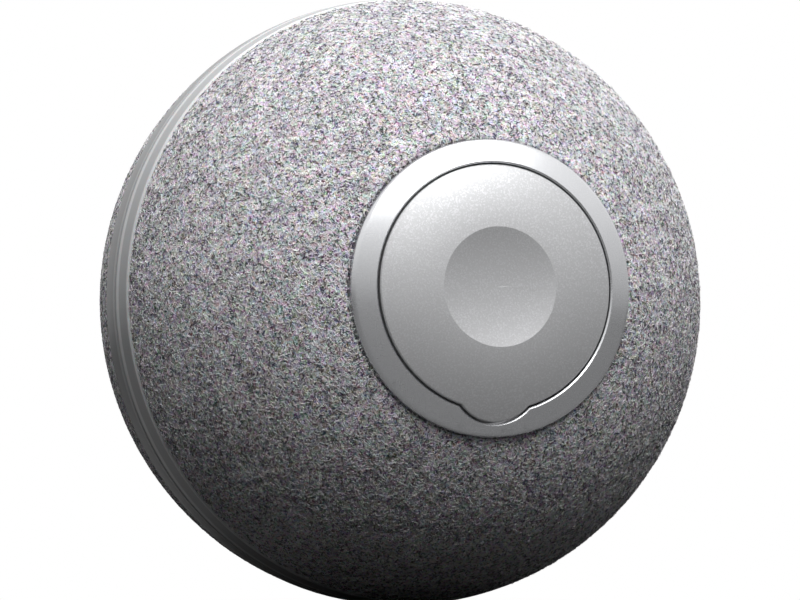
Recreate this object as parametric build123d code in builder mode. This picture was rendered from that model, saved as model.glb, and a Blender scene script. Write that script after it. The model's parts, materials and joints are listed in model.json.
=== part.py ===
# A self rolling ball for cats, about 43 mm across and 38.4 mm wide.
#
# Two moulded half shells meet at a parting plane, each with a plain rim and a felt cover glued over its dome.
# A raised ring on each dome frames a cap: the front one is a lid that pulls out over the charging socket,
# the rear one is fixed. Inside, a pendulum module hangs on the ball's axis. Its front journal turns in a bush
# and a rear axle carries the other end. The motor drives three gear stages, and the last pinion walks round
# an internal ring that is screwed to the rear shell, so the heavy module climbs and the ball rolls.
#
# Frame: the origin is the centre of the ball, +Y is the rolling axis with the lid at -Y, and +Z is up.
# A height is a distance from the parting plane along the axis, for the front and the rear alike.

import os
from math import acos, atan2, cos, degrees, hypot, pi, radians, sin, sqrt, tan

from build123d import *

os.makedirs("parts", exist_ok=True)

FRONT = -1
REAR = 1

# Ball envelope
equator_radius = 21.5
section_radius = 18.9  # of the rims' dome, an arc that is swung round the axis
felt_step = 0.1  # the felt lies this far under the rims' dome
felt_thickness = 1.6
shell_wall = 1.4
band_half_width = 2.2  # one rim
rim_chamfer = 0.15
rim_lip = 0.12
felt_round = 0.35
glue_gap = 0.03
seat_gap = 0.03

# Rings and caps
ring_face_width = 1.71
ring_proud = 0.45  # above the felt
ring_shoulder = 0.5
ring_edge = 0.12
ring_peg_radius = 0.55
ring_peg_length = 0.9
cap_radius = 8.58
cap_gap = 0.14
cap_thickness = 1.3
cap_edge = 0.08
tab_radius = 3.28
tab_reach = 0.81  # how far the nail tab stands past the lid's circle
dish_radius = 4.2
dish_depth = 0.3
plug_wall = 0.6
plug_length = 1.7
plug_rib = 0.06
plug_bead = 0.35
plug_clearance = 0.1
ledge_width = 1.0

# Closing joint of the two shells
tongue_inset = 0.85  # from the cavity's edge
tongue_width = 1.0
tongue_length = 1.6
joint_clearance = 0.08
lug_height = 0.4
lug_depth = 0.7
lug_angle = 12
lug_turn = 24
lug_count = 3

# Journal, bush and axle
well_depth = 4.8  # from the lid's ledge to the end of the journal
bush_length = 2.2
bush_wall = 0.85
flange_reach = 0.9
flange_thickness = 0.8
press_gap = 0.02
running_gap = 0.05
journal_radius = 6.6
journal_wall = 0.65
end_play = 0.2
gusset_thickness = 0.9
gusset_reach = 3.7
gusset_count = 6
axle_radius = 1.0
axle_bush_wall = 0.6
axle_boss_wall = 0.8
axle_running_gap = 0.03

# Module housing
module_gap = 0.8  # from the shell's cavity
module_wall = 0.9
end_wall = 1.0
split_height = 0.02  # half the gap between base and cover
deck_height = 4.3  # top of the housing over the board
rib_thickness = 1.0
rib_top = -0.2
rib_places = (0.26, 0.78)  # shares of the way to the rear wall
cover_rib_place = 0.42
part_gap = 0.1  # round the motor, battery and weight

# Charging face
face_gap = 0.15
face_thickness = 0.8
face_spigot = 1.2
shelf_thickness = 0.6
shelf_width = 1.3

# Drive
pressure_angle = radians(20)
fine_size = 0.3  # tooth size of the two fast stages
coarse_size = 0.4  # tooth size of the last stage
pinion_teeth = 9
wheel_teeth = 30
last_pinion_teeth = 10
ring_teeth = 42
fine_shift = 0.5
coarse_shift = 0.4
backlash = 0.05
tooth_clearance = 0.075
fine_pinion_tip = 0.35  # tooth tip above the pitch circle
coarse_pinion_tip = 0.5
fine_wheel_tip = 0.15
ring_tip = 0.18  # ring tooth tip inside the pitch circle
wheel_width = 1.3
layer_gap = 0.2
ring_width = 1.9
ring_web = 0.8
ring_rim = 1.0
ring_boss_radius = 1.4
ring_boss_length = 1.2
ring_screw_circle = 5.4
rear_boss_depth = 2.85
gear_bay = 3.3
plate_thickness = 0.8
bay_wall = 1.0
gear_pin_radius = 0.5
gear_bore_gap = 0.03
gear_shoulder = 0.95
last_gear_angle = 50  # where the last pinion stands round the axis
post_radius = 1.2
post_circle = 10.6
post_angles = (120, 205, 285)

# Motor, battery and weight
motor_radius = 6.0
motor_height = 10.0
motor_x = 6.2
motor_z = -5.6
motor_boss_radius = 2.0
motor_boss_length = 0.7
motor_end_length = 0.8
terminal_offset = 3.4
terminal_length = 0.4
shaft_depth = 3.5  # of the motor's shaft in its can
battery_width = 10.8
battery_height = 8.0
battery_tab_length = 0.36
battery_round = 1.5
battery_x = -5.8
battery_z = -5.0
battery_tabs = (-2.6, -0.2)
battery_tab_z = 2.4
weight_gap = 0.3  # under the motor

# Boards and what they carry
board_thickness = 0.8
main_board_width = 22.0
main_board_gap = 0.35  # from the socket
main_board_wall_gap = 0.7  # from the rear wall
port_board_width = 10.4
port_board_length = 4.0
port_board_top = -0.83
socket_width = 8.94
socket_height = 3.26
socket_length = 7.35
socket_wall = 0.25
socket_inset = 0.25
socket_round = 1.5
slot_gap = 0.13
contact_plate = (6.7, 0.7, 5.2)
button_radius = 1.25
button_gap = 0.1
button_flange = 0.4
button_flange_thickness = 0.4
button_proud = 0.3
button_travel = 0.25
switch_width = 3.6
switch_height = 3.0
switch_length = 1.8
plunger_radius = 0.6
plunger_length = 0.5
lens_radius = 0.65
lens_x = 2.8
lens_z = -3.1
lens_length = 2.0
lead_radius = 0.28
lead_bend = 0.9
lead_spacing = 1.2
wall_to_lead = 0.5

# Screws
screw_radius = 0.7
screw_head_radius = 1.25
screw_head_height = 0.8
screw_gap = 0.15
flat_head_radius = 1.1
flat_head_height = 0.45
drive_slot = 0.3
drive_slot_depth = 0.3
drive_slot_span = 1.7
cover_screw_x = 14.2
cover_screw_z = 0.8
cover_post_radius = 1.5
cover_screw_sink = 0.5  # of the heads, at their outer edge
cover_screw_length = 8.0
plate_screw_length = 3.4
ring_screw_length = 2.2

# The rims, felt, shell and cavity are parallel domes. Each has its own radius at the parting plane,
# and the arcs of them all have their centre in that plane, at the inset from the axis.
dome_inset = equator_radius - section_radius
felt_radius = equator_radius - felt_step
shell_radius = felt_radius - felt_thickness
cavity_radius = shell_radius - shell_wall
trim_radius = felt_radius + ring_proud
cap_inner_radius = trim_radius - cap_thickness
module_radius = cavity_radius - module_gap
module_inner_radius = module_radius - module_wall


def dome_height(radius, r):
    return sqrt((radius - dome_inset) ** 2 - max(0, r - dome_inset) ** 2)


def dome_reach(radius, height):
    return dome_inset + sqrt(max(0, (radius - dome_inset) ** 2 - height**2))


def dome_point(side, radius, height):
    return (dome_reach(radius, height), side * height)


def dome_arc(side, radius, start, end):
    # Arc of a dome's section between two heights
    heights = (start, (start + end) / 2, end)
    return ThreePointArc(*[dome_point(side, radius, height) for height in heights])


def station(y):
    # A plane across the axis. Its sketches read as x and z, and an extrusion from it runs towards the lid.
    return Plane.XZ.offset(-y)


def turned(outline, mode=Mode.ADD):
    # A body of revolution about the axis, from corner points (r, y)
    with BuildSketch(Plane.XY) as section:
        with BuildLine():
            Polyline(*outline, close=True)
        make_face()
    revolve(section.sketch, axis=Axis.Y, mode=mode)


def turned_piece(inner, outer, low, high, start, sweep, mode=Mode.ADD):
    # A piece of a ring about the axis, through sweep degrees
    with BuildSketch(Plane.XY.rotated((0, start, 0))) as section:
        with Locations(((inner + outer) / 2, (low + high) / 2)):
            Rectangle(outer - inner, abs(high - low))
    revolve(section.sketch, axis=Axis.Y, revolution_arc=sweep, mode=mode)


def rods(y, length, radius, spots, mode=Mode.ADD):
    # Round bars or holes along the axis, from y towards the lid
    with BuildSketch(station(y)) as ends:
        with Locations(*spots):
            Circle(radius)
    extrude(ends.sketch, amount=length, mode=mode)


def on_circle(radius, angles):
    return [(radius * cos(radians(angle)), radius * sin(radians(angle))) for angle in angles]


def hoops(piece):
    # Full circles round the axis, the smallest first
    circles = piece.edges().filter_by(GeomType.CIRCLE)
    return circles.filter_by(lambda edge: edge.is_closed).sort_by(lambda edge: edge.radius)


def crown_rims(piece, side, low, high):
    # Edges round the crown of a raised ring or a cap, between two distances from the axis
    rims = []
    for edge in piece.edges():
        points = [edge.position_at(share) for share in (0, 0.3, 0.6, 1)]
        reaches = [hypot(point.X, point.Z) for point in points]
        rises = [
            side * point.Y - dome_height(trim_radius, reach) for point, reach in zip(points, reaches)
        ]
        on_crown = max(rises) < 0.002 and min(rises) > -0.002
        turns = abs(points[0].X * points[2].Z - points[0].Z * points[2].X) > 0.01
        if on_crown and turns and low < min(reaches) and max(reaches) < high:
            rims.append(edge)
    return rims


def save(piece, name):
    piece.part.label = name
    export_step(piece.part, f"parts/{name}.step")


# Heights along the axis, worked inwards from the lid and from the rear cap
ring_bore = cap_radius + cap_gap
ring_radius = ring_bore + ring_face_width
ring_peg_circle = ring_bore + ring_face_width / 2
collar_radius = ring_bore - glue_gap
well_radius = collar_radius - ledge_width
ledge_height = dome_height(cap_inner_radius, cap_radius) - seat_gap
nose_height = ledge_height - well_depth
bush_radius = journal_radius + running_gap + bush_wall
bush_seat = bush_radius + press_gap
bush_front = nose_height - layer_gap / 2
bush_rear = bush_front - bush_length
front_wall = bush_rear - flange_thickness - end_play
front_wall_inner = front_wall - end_wall

boss_front = ledge_height - rear_boss_depth
web_front = boss_front - ring_web
ring_front = web_front - ring_width
plate_rear = ring_front - layer_gap
plate_front = plate_rear - plate_thickness
rear_wall = plate_front - gear_bay
rear_wall_inner = rear_wall - end_wall

fine_distance = fine_size * (pinion_teeth + wheel_teeth) / 2
last_distance = coarse_size * (ring_teeth - last_pinion_teeth) / 2
fine_pinion_radius = fine_size * pinion_teeth / 2 + fine_pinion_tip
fine_wheel_radius = fine_size * wheel_teeth / 2 + fine_wheel_tip
last_pinion_radius = coarse_size * last_pinion_teeth / 2 + coarse_pinion_tip
ring_root_radius = last_distance + last_pinion_radius + tooth_clearance
ring_tip_radius = coarse_size * ring_teeth / 2 - ring_tip
ring_outer_radius = ring_root_radius + ring_rim
web_radius = dome_reach(cavity_radius, boss_front) - 0.25
bay_radius = last_distance + fine_wheel_radius + layer_gap * 2
bay_outer_radius = bay_radius + bay_wall

# The motor and the battery fill the room between the walls, less what their leads need at the front
lead_front = lead_radius + wall_to_lead - front_wall_inner
terminal_front = lead_front + lead_radius + seat_gap
motor_face = rear_wall_inner - seat_gap
weight_top = motor_z - motor_height / 2 - weight_gap
weight_front = front_wall_inner - part_gap
weight_rear = rear_wall_inner * rib_places[-1] - rib_thickness - part_gap
motor_length = motor_face - seat_gap - motor_end_length - terminal_length - terminal_front
battery_rear = rear_wall_inner - 3 * part_gap
battery_front = terminal_front + battery_tab_length
battery_length = battery_rear - battery_front

peg_angles = (90, 210, 330)
ring_screws = on_circle(ring_screw_circle, (30, 150, 270))
plate_screws = on_circle(post_circle, post_angles)
cover_head_height = dome_height(module_radius, cover_screw_x + screw_head_radius) - cover_screw_sink
cover_screw_seat = cover_head_height - screw_head_height
cover_screws = [(-cover_screw_x, cover_screw_z), (cover_screw_x, cover_screw_z)]

# Gear centres: the last gear stands on the ring's circle, the motor is where the weight is wanted,
# and the middle gear closes the triangle on the axis side.
last_gear = on_circle(last_distance, [last_gear_angle])[0]
motor_axis = (motor_x, motor_z)
span_x = last_gear[0] - motor_x
span_z = last_gear[1] - motor_z
span = hypot(span_x, span_z)
rise = sqrt(fine_distance**2 - (span / 2) ** 2)
middle_gear = (motor_x + span_x / 2 - rise * span_z / span, motor_z + span_z / 2 + rise * span_x / span)


# Shells

cavity_edge = dome_reach(cavity_radius, 0)
tongue_inner = cavity_edge + tongue_inset
tongue_outer = tongue_inner + tongue_width


def half_shell(side, hub):
    lip_height = band_half_width - rim_lip
    band_edge = dome_point(side, equator_radius, lip_height)
    collar_foot = dome_height(shell_radius, collar_radius)
    with BuildSketch(Plane.XY) as section:
        with BuildLine():
            rim_start = dome_point(side, equator_radius, rim_chamfer)
            Polyline((cavity_edge, 0), (equator_radius - rim_chamfer, 0), rim_start)
            dome_arc(side, equator_radius, rim_chamfer, lip_height)
            felt_seat = dome_point(side, shell_radius, band_half_width)
            Polyline(band_edge, (band_edge[0] - rim_lip, side * band_half_width), felt_seat)
            dome_arc(side, shell_radius, band_half_width, collar_foot)
            hub_points = [(r, side * height) for r, height in hub]
            Polyline((collar_radius, side * collar_foot), *hub_points)
            dome_arc(side, cavity_radius, hub[-1][1], 0)
        make_face()
    revolve(section.sketch, axis=Axis.Y)


def peg_holes(side):
    # Holes in the dome for the pegs of the raised ring
    depth = ledge_height - dome_height(shell_radius, ring_peg_circle) + ring_peg_length + seat_gap
    spots = on_circle(ring_peg_circle, peg_angles)
    rods(side * ledge_height, side * depth, ring_peg_radius + joint_clearance, spots, Mode.SUBTRACT)


front_hub = [
    (collar_radius, ledge_height),
    (well_radius, ledge_height),
    (well_radius, bush_front),
    (bush_seat, bush_front),
    (bush_seat, bush_rear),
    (collar_radius, bush_rear),
    (collar_radius, dome_height(cavity_radius, collar_radius)),
]

with BuildPart() as front_half_shell:
    half_shell(FRONT, front_hub)
    # Gussets between the hub and the dome
    wall_middle = cavity_radius + shell_wall / 2
    gusset_root = collar_radius - ledge_width / 3
    gusset_tip = collar_radius + gusset_reach
    for index in range(gusset_count):
        with BuildSketch(Plane.XY.rotated((0, index * 360 / gusset_count, 0))):
            with BuildLine():
                Polyline(
                    (gusset_root, FRONT * (bush_rear + layer_gap)),
                    (gusset_tip, FRONT * dome_height(wall_middle, gusset_tip)),
                    (gusset_root, FRONT * dome_height(wall_middle, gusset_root)),
                    close=True,
                )
            make_face()
        extrude(amount=gusset_thickness / 2, both=True)
    # Tongue and bayonet lugs that enter the rear shell
    turned_piece(tongue_inner, tongue_outer, -tongue_width / 2, tongue_length, 0, 360)
    for index in range(lug_count):
        lug_start = index * 360 / lug_count
        lug_root = tongue_outer - lug_height / 2
        lug_end = tongue_outer + lug_height
        turned_piece(lug_root, lug_end, tongue_length - lug_depth, tongue_length, lug_start, lug_angle)
    peg_holes(FRONT)

rear_hub = [
    (collar_radius, ledge_height),
    (0, ledge_height),
    (0, boss_front),
    (web_radius, boss_front),
    (web_radius, dome_height(cavity_radius, web_radius)),
]

with BuildPart() as rear_half_shell:
    half_shell(REAR, rear_hub)
    # Groove and tracks for the front shell's tongue and lugs: in at the gate, then round to the stop
    groove_inner = tongue_inner - joint_clearance
    groove_outer = tongue_outer + joint_clearance
    groove_depth = tongue_length + joint_clearance
    track_outer = tongue_outer + lug_height + joint_clearance
    track_start = tongue_length - lug_depth - joint_clearance
    turned_piece(groove_inner, groove_outer, -1, groove_depth, 0, 360, Mode.SUBTRACT)
    for index in range(lug_count):
        gate = index * 360 / lug_count - lug_turn
        turned_piece(groove_inner, track_outer, -1, groove_depth, gate, lug_angle + 4, Mode.SUBTRACT)
        track_sweep = lug_turn + lug_angle + 2
        turned_piece(
            groove_inner, track_outer, track_start, groove_depth, gate, track_sweep, Mode.SUBTRACT
        )
    # Seat of the rear bush, and seats and countersunk screw holes for the drive ring's bosses
    rear_bush_seat = axle_radius + axle_running_gap + axle_bush_wall + press_gap
    rods(ledge_height, rear_boss_depth, rear_bush_seat, [(0, 0)], Mode.SUBTRACT)
    rods(ledge_height, rear_boss_depth, screw_radius + screw_gap, ring_screws, Mode.SUBTRACT)
    head_depth = screw_head_height + seat_gap
    rods(ledge_height, head_depth, screw_head_radius + screw_gap, ring_screws, Mode.SUBTRACT)
    boss_seat = ring_boss_length + joint_clearance
    seat_radius = ring_boss_radius + joint_clearance
    rods(boss_front + boss_seat, boss_seat, seat_radius, ring_screws, Mode.SUBTRACT)
    # Cored pockets between the screws keep the boss from sinking as it cools
    for index in range(3):
        pocket_floor = boss_front + plate_thickness
        turned_piece(
            2.8, well_radius - 0.7, pocket_floor, ledge_height + 1, index * 120 + 68, 44, Mode.SUBTRACT
        )
    # Groove for the skirt of the rear cap
    skirt_outer = well_radius + seat_gap
    skirt_inner = well_radius - plug_clearance - plug_wall - plug_clearance
    skirt_floor = ledge_height - plug_length - seat_gap
    turned_piece(skirt_inner, skirt_outer, skirt_floor, ledge_height + 1, 0, 360, Mode.SUBTRACT)
    peg_holes(REAR)


# Felt covers

def felt_cover(side):
    edge_height = band_half_width + glue_gap
    seat_radius = shell_radius + glue_gap
    hole = ring_radius + glue_gap
    top = dome_height(felt_radius, hole)
    foot = dome_height(seat_radius, hole)
    with BuildPart() as cover:
        with BuildSketch(Plane.XY):
            with BuildLine():
                dome_arc(side, felt_radius, top, edge_height)
                outer_edge = dome_point(side, felt_radius, edge_height)
                Line(outer_edge, dome_point(side, seat_radius, edge_height))
                dome_arc(side, seat_radius, edge_height, foot)
                Line((hole, side * foot), (hole, side * top))
            make_face()
        revolve(axis=Axis.Y)
        rims = hoops(cover)
        fillet([rims[-1], rims.sort_by(lambda rim: side * rim.center().Y)[-1]], felt_round)
    return cover


front_felt_cover = felt_cover(FRONT)
rear_felt_cover = felt_cover(REAR)


# Raised rings round the lid and the rear cap

tab_centre = cap_radius + tab_reach - tab_radius


def trim_ring(side):
    seat = shell_radius + glue_gap
    inner_top = dome_height(trim_radius, ring_bore)
    outer_top = dome_height(trim_radius, ring_radius)
    inner_foot = dome_height(seat, ring_bore)
    outer_foot = dome_height(seat, ring_radius)
    with BuildPart() as ring:
        with BuildSketch(Plane.XY):
            with BuildLine():
                dome_arc(side, trim_radius, inner_top, outer_top)
                Line((ring_radius, side * outer_top), (ring_radius, side * outer_foot))
                dome_arc(side, seat, outer_foot, inner_foot)
                Line((ring_bore, side * inner_foot), (ring_bore, side * inner_top))
            make_face()
        revolve(axis=Axis.Y)
        fillet(hoops(ring)[-2:].sort_by(lambda rim: side * rim.center().Y)[-1], ring_shoulder)
        if side == FRONT:
            with BuildSketch(station(side * ledge_height)):
                with Locations((0, -tab_centre)):
                    Circle(tab_radius + cap_gap)
            extrude(amount=section_radius, mode=Mode.SUBTRACT)
        inside = ring_radius - ring_shoulder - ring_edge
        chamfer(crown_rims(ring, side, 0, inside), ring_edge)
        peg_top = dome_height(shell_radius, ring_peg_circle) + ring_peg_length / 2
        pegs = on_circle(ring_peg_circle, peg_angles)
        rods(side * peg_top, side * ring_peg_length * 1.5, ring_peg_radius, pegs)
    return ring


front_trim_ring = trim_ring(FRONT)
rear_trim_ring = trim_ring(REAR)


# Lid and rear cap

def port_cap(side):
    underside = ledge_height + seat_gap
    with BuildPart() as cap:
        with BuildSketch(station(side * underside)):
            Circle(cap_radius)
            if side == FRONT:
                with Locations((0, -tab_centre)):
                    Circle(tab_radius)
                wide = [corner for corner in vertices() if abs(corner.X) > tab_radius / 2]
                tab_corners = [corner for corner in wide if corner.Z < -tab_centre]
                fillet(tab_corners, 0.25)
        pole = dome_height(trim_radius, 0)
        extrude(amount=side * (underside - pole - cap_thickness))
        # The crown follows the ring's dome, and the underside is hollowed inside the rim
        crown_foot = dome_height(trim_radius, ring_radius)
        above = side * (pole + 2 * cap_thickness)
        with BuildSketch(Plane.XY) as crown:
            with BuildLine():
                dome_arc(side, trim_radius, pole, crown_foot)
                Polyline(
                    (ring_radius, side * crown_foot),
                    (ring_radius, above),
                    (0, above),
                    (0, side * pole),
                    dome_point(side, trim_radius, pole),
                )
            make_face()
        revolve(crown.sketch, axis=Axis.Y, mode=Mode.SUBTRACT)
        hollow_radius = well_radius - plug_clearance - plug_wall
        hollow_foot = dome_height(cap_inner_radius, hollow_radius)
        hollow_pole = dome_height(cap_inner_radius, 0)
        with BuildSketch(Plane.XY) as hollow:
            with BuildLine():
                dome_arc(side, cap_inner_radius, hollow_pole, hollow_foot)
                base = side * underside
                hollow_top = dome_point(side, cap_inner_radius, hollow_pole)
                Polyline(
                    (hollow_radius, side * hollow_foot),
                    (hollow_radius, base),
                    (0, base),
                    (0, side * hollow_pole),
                    hollow_top,
                )
            make_face()
        revolve(hollow.sketch, axis=Axis.Y, mode=Mode.SUBTRACT)
        # A shallow dish for the finger tip
        dish_floor = pole - dish_depth - (pole - dome_height(trim_radius, dish_radius))
        dish_rim = dome_height(trim_radius, dish_radius)
        dish_middle = dish_floor + (dish_rim - dish_floor) / 4
        with BuildSketch(Plane.XY) as dish:
            with BuildLine():
                floor_end = (0, side * dish_floor)
                rim_end = (dish_radius, side * dish_rim)
                ThreePointArc(floor_end, (dish_radius / 2, side * dish_middle), rim_end)
                Polyline(rim_end, (dish_radius, above), (0, above), floor_end)
            make_face()
        revolve(dish.sketch, axis=Axis.Y, mode=Mode.SUBTRACT)
        # Skirt that plugs into the well, with a low bead near its end
        skirt = well_radius - plug_clearance
        low = side * (underside - plug_length)
        high = side * (underside + cap_thickness / 2)
        turned_piece(skirt - plug_wall, skirt, low, high, 0, 360)
        bead = side * plug_bead
        turned_piece(skirt - plug_wall / 2, skirt + plug_rib, low + bead, low + 2 * bead, 0, 360)
        chamfer(crown_rims(cap, side, dish_radius + cap_edge, ring_radius), cap_edge)
    return cap


port_lid = port_cap(FRONT)
rear_cap = port_cap(REAR)


# Bearings

with BuildPart() as front_bush:
    bush_bore = journal_radius + running_gap
    flange_end = bush_rear - flange_thickness
    turned(
        [
            (bush_bore, FRONT * bush_front),
            (bush_radius, FRONT * bush_front),
            (bush_radius, FRONT * bush_rear),
            (bush_radius + flange_reach, FRONT * bush_rear),
            (bush_radius + flange_reach, FRONT * flange_end),
            (bush_bore, FRONT * flange_end),
        ]
    )
    chamfer(front_bush.edges().filter_by(GeomType.CIRCLE).sort_by(Axis.Y)[0:2], 0.15)

with BuildPart() as rear_bush:
    axle_bore = axle_radius + axle_running_gap
    turned(
        [
            (axle_bore, boss_front),
            (axle_bore + axle_bush_wall, boss_front),
            (axle_bore + axle_bush_wall, ledge_height - 0.4),
            (axle_bore, ledge_height - 0.4),
        ]
    )
    chamfer(rear_bush.edges().filter_by(GeomType.CIRCLE), 0.1)


# Gears

def involute(angle):
    return tan(angle) - angle


def tooth_half_angle(radius, teeth, size, shift, slack):
    pitch = size * teeth / 2
    width = size * (pi / 2 + 2 * shift * tan(pressure_angle)) + slack
    rolled = acos(min(1, pitch * cos(pressure_angle) / radius))
    return width / (2 * pitch) + involute(pressure_angle) - involute(rolled)


def gear_outline(centre, phase, teeth, size, shift, root, tip, slack=-backlash / 2):
    # Closed outline of involute teeth, the first tooth at the phase angle
    base = size * teeth / 2 * cos(pressure_angle)
    start = max(base, root)
    flank = [start + (tip - start) * step for step in (0, 0.2, 0.5, 1)]

    def spot(radius, angle):
        return (centre[0] + radius * cos(angle), centre[1] + radius * sin(angle))

    with BuildLine() as outline:
        for tooth in range(teeth):
            middle = phase + 2 * pi * tooth / teeth
            half = [tooth_half_angle(radius, teeth, size, shift, slack) for radius in flank]
            rising = [spot(radius, middle - angle) for radius, angle in zip(flank, half)]
            falling = [spot(radius, middle + angle) for radius, angle in zip(flank, half)][::-1]
            foot_in = spot(root, middle - half[0])
            foot_out = spot(root, middle + half[0])
            next_foot = spot(root, middle + 2 * pi / teeth - half[0])
            if root < base:
                Line(foot_in, rising[0])
            Spline(*rising)
            ThreePointArc(rising[-1], spot(tip, middle), falling[0])
            Spline(*falling)
            if root < base:
                Line(falling[-1], foot_out)
            ThreePointArc(foot_out, spot(root, middle + pi / teeth), next_foot)
    return outline.line


def gear_teeth(y, width, centre, phase, teeth, size, shift, root, tip):
    with BuildSketch(station(y)) as face:
        with BuildLine():
            add(gear_outline(centre, phase, teeth, size, shift, root, tip))
        make_face()
    extrude(face.sketch, amount=width)


def mating_phase(centre, phase, teeth, mate_centre, mate_teeth):
    # Phase of a mate whose tooth space meets the tooth of the first gear
    line = atan2(mate_centre[1] - centre[1], mate_centre[0] - centre[0])
    offset = (line - phase) * teeth / (2 * pi)
    return line + pi - (0.5 - offset) * 2 * pi / mate_teeth


last_phase = radians(last_gear_angle)
ring_phase = radians(last_gear_angle)
middle_phase = mating_phase(last_gear, last_phase, wheel_teeth, middle_gear, pinion_teeth)
motor_phase = mating_phase(middle_gear, middle_phase, wheel_teeth, motor_axis, pinion_teeth)

fine_pinion_root = fine_distance - fine_wheel_radius - tooth_clearance
fine_wheel_root = fine_distance - fine_pinion_radius - tooth_clearance
last_pinion_root = ring_tip_radius - last_distance - tooth_clearance

first_layer = rear_wall + layer_gap  # start of the first wheel
second_layer = first_layer + wheel_width  # its small pinion starts here
last_wheel_start = second_layer + layer_gap
last_wheel_end = plate_front - layer_gap / 2

with BuildPart() as middle_gear_cluster:
    gear_teeth(
        second_layer,
        wheel_width,
        middle_gear,
        middle_phase,
        wheel_teeth,
        fine_size,
        -fine_shift,
        fine_wheel_root,
        fine_wheel_radius,
    )
    top = plate_front - layer_gap / 2
    gear_teeth(
        top,
        top - second_layer,
        middle_gear,
        middle_phase,
        pinion_teeth,
        fine_size,
        fine_shift,
        fine_pinion_root,
        fine_pinion_radius,
    )
    rods(first_layer, layer_gap / 2, gear_shoulder, [middle_gear])
    rods(top, gear_bay, gear_pin_radius + gear_bore_gap, [middle_gear], Mode.SUBTRACT)

with BuildPart() as last_gear_cluster:
    ring_side = web_front - layer_gap
    wheel_depth = last_wheel_end - last_wheel_start
    gear_teeth(
        last_wheel_end,
        wheel_depth,
        last_gear,
        last_phase,
        wheel_teeth,
        fine_size,
        -fine_shift,
        fine_wheel_root,
        fine_wheel_radius,
    )
    gear_teeth(
        ring_side,
        ring_width - layer_gap,
        last_gear,
        last_phase,
        last_pinion_teeth,
        coarse_size,
        coarse_shift,
        last_pinion_root,
        last_pinion_radius,
    )
    rods(ring_side, ring_side - last_wheel_start, gear_shoulder + 0.5, [last_gear])
    rods(last_wheel_end, last_wheel_end - first_layer, gear_shoulder, [last_gear])
    rods(ring_side, ring_side, gear_pin_radius + gear_bore_gap, [last_gear], Mode.SUBTRACT)

with BuildPart() as motor_pinion:
    pinion_end = second_layer + layer_gap / 2
    gear_teeth(
        pinion_end,
        pinion_end - first_layer,
        motor_axis,
        motor_phase,
        pinion_teeth,
        fine_size,
        fine_shift,
        fine_pinion_root,
        fine_pinion_radius,
    )
    shaft_end = motor_face - shaft_depth
    rods(pinion_end - layer_gap, pinion_end - layer_gap - shaft_end, gear_pin_radius, [motor_axis])

with BuildPart() as drive_ring:
    turned(
        [
            (ring_root_radius + ring_rim / 3, ring_front),
            (ring_outer_radius, ring_front),
            (ring_outer_radius, web_front - 0.3),
            (web_radius, boss_front - seat_gap),
            (axle_radius + axle_boss_wall, boss_front - seat_gap),
            (axle_radius + axle_boss_wall, web_front),
            (ring_root_radius + ring_rim / 3, web_front),
        ]
    )
    with BuildSketch(station(web_front)) as tooth_band:
        Circle(ring_root_radius + ring_rim / 2)
        with BuildLine():
            add(
                gear_outline(
                    (0, 0),
                    ring_phase,
                    ring_teeth,
                    coarse_size,
                    coarse_shift,
                    ring_tip_radius,
                    ring_root_radius,
                    backlash / 2,
                ),
            )
        make_face(mode=Mode.SUBTRACT)
    extrude(tooth_band.sketch, amount=ring_width)
    rods(boss_front + ring_boss_length, ring_boss_length + ring_web / 2, ring_boss_radius, ring_screws)
    rods(
        boss_front + ring_boss_length,
        ring_boss_length + ring_web - 0.3,
        screw_radius,
        ring_screws,
        Mode.SUBTRACT,
    )


# Module housing: the cavity is cut from both halves

with BuildPart() as module_cavity:
    with BuildSketch(Plane.XY):
        with BuildLine():
            front_end = dome_point(FRONT, module_inner_radius, front_wall_inner)
            rear_end = dome_point(REAR, module_inner_radius, rear_wall_inner)
            dome_arc(FRONT, module_inner_radius, 0, front_wall_inner)
            Polyline(front_end, (0, -front_wall_inner), (0, rear_wall_inner), rear_end)
            dome_arc(REAR, module_inner_radius, rear_wall_inner, 0)
        make_face()
    revolve(axis=Axis.Y)
    split(bisect_by=Plane.XY.offset(deck_height - module_wall), keep=Keep.BOTTOM)


def housing_body(side, high):
    # The bowl of one half, cut off flat by the deck
    low = split_height
    with BuildSketch(Plane.XY) as section:
        with BuildLine():
            dome_arc(side, module_radius, low, high)
            low_end = dome_point(side, module_radius, low)
            Polyline(dome_point(side, module_radius, high), (0, side * high), (0, side * low), low_end)
        make_face()
    revolve(section.sketch, axis=Axis.Y)
    split(bisect_by=Plane.XY.offset(deck_height), keep=Keep.BOTTOM)


def motor_outline(grow=0):
    with BuildSketch() as outline:
        with Locations((motor_x, motor_z)):
            Circle(motor_radius + grow)
            Rectangle(4 * motor_radius, motor_height + 2 * grow, mode=Mode.INTERSECT)
    return outline.sketch


def battery_outline(grow=0):
    with BuildSketch() as outline:
        with Locations((battery_x, battery_z)):
            RectangleRounded(battery_width + 2 * grow, battery_height + 2 * grow, battery_round)
    return outline.sketch


def cradle_ribs(side, heights):
    # Ribs across the bowl, cut out for the motor, the battery and the weight that they hold
    for height in heights:
        outer = dome_reach(module_inner_radius, height) + module_wall / 2
        with BuildSketch(station(side * height)) as rib:
            Circle(outer)
            with Locations((0, rib_top)):
                Rectangle(4 * outer, 2 * outer, align=(Align.CENTER, Align.MIN), mode=Mode.SUBTRACT)
            add(motor_outline(part_gap), mode=Mode.SUBTRACT)
            add(battery_outline(part_gap), mode=Mode.SUBTRACT)
            if side * height < weight_rear:
                with Locations((0, weight_top + part_gap)):
                    Rectangle(4 * outer, outer, align=(Align.CENTER, Align.MAX), mode=Mode.SUBTRACT)
        extrude(rib.sketch, amount=-side * rib_thickness)


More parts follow.
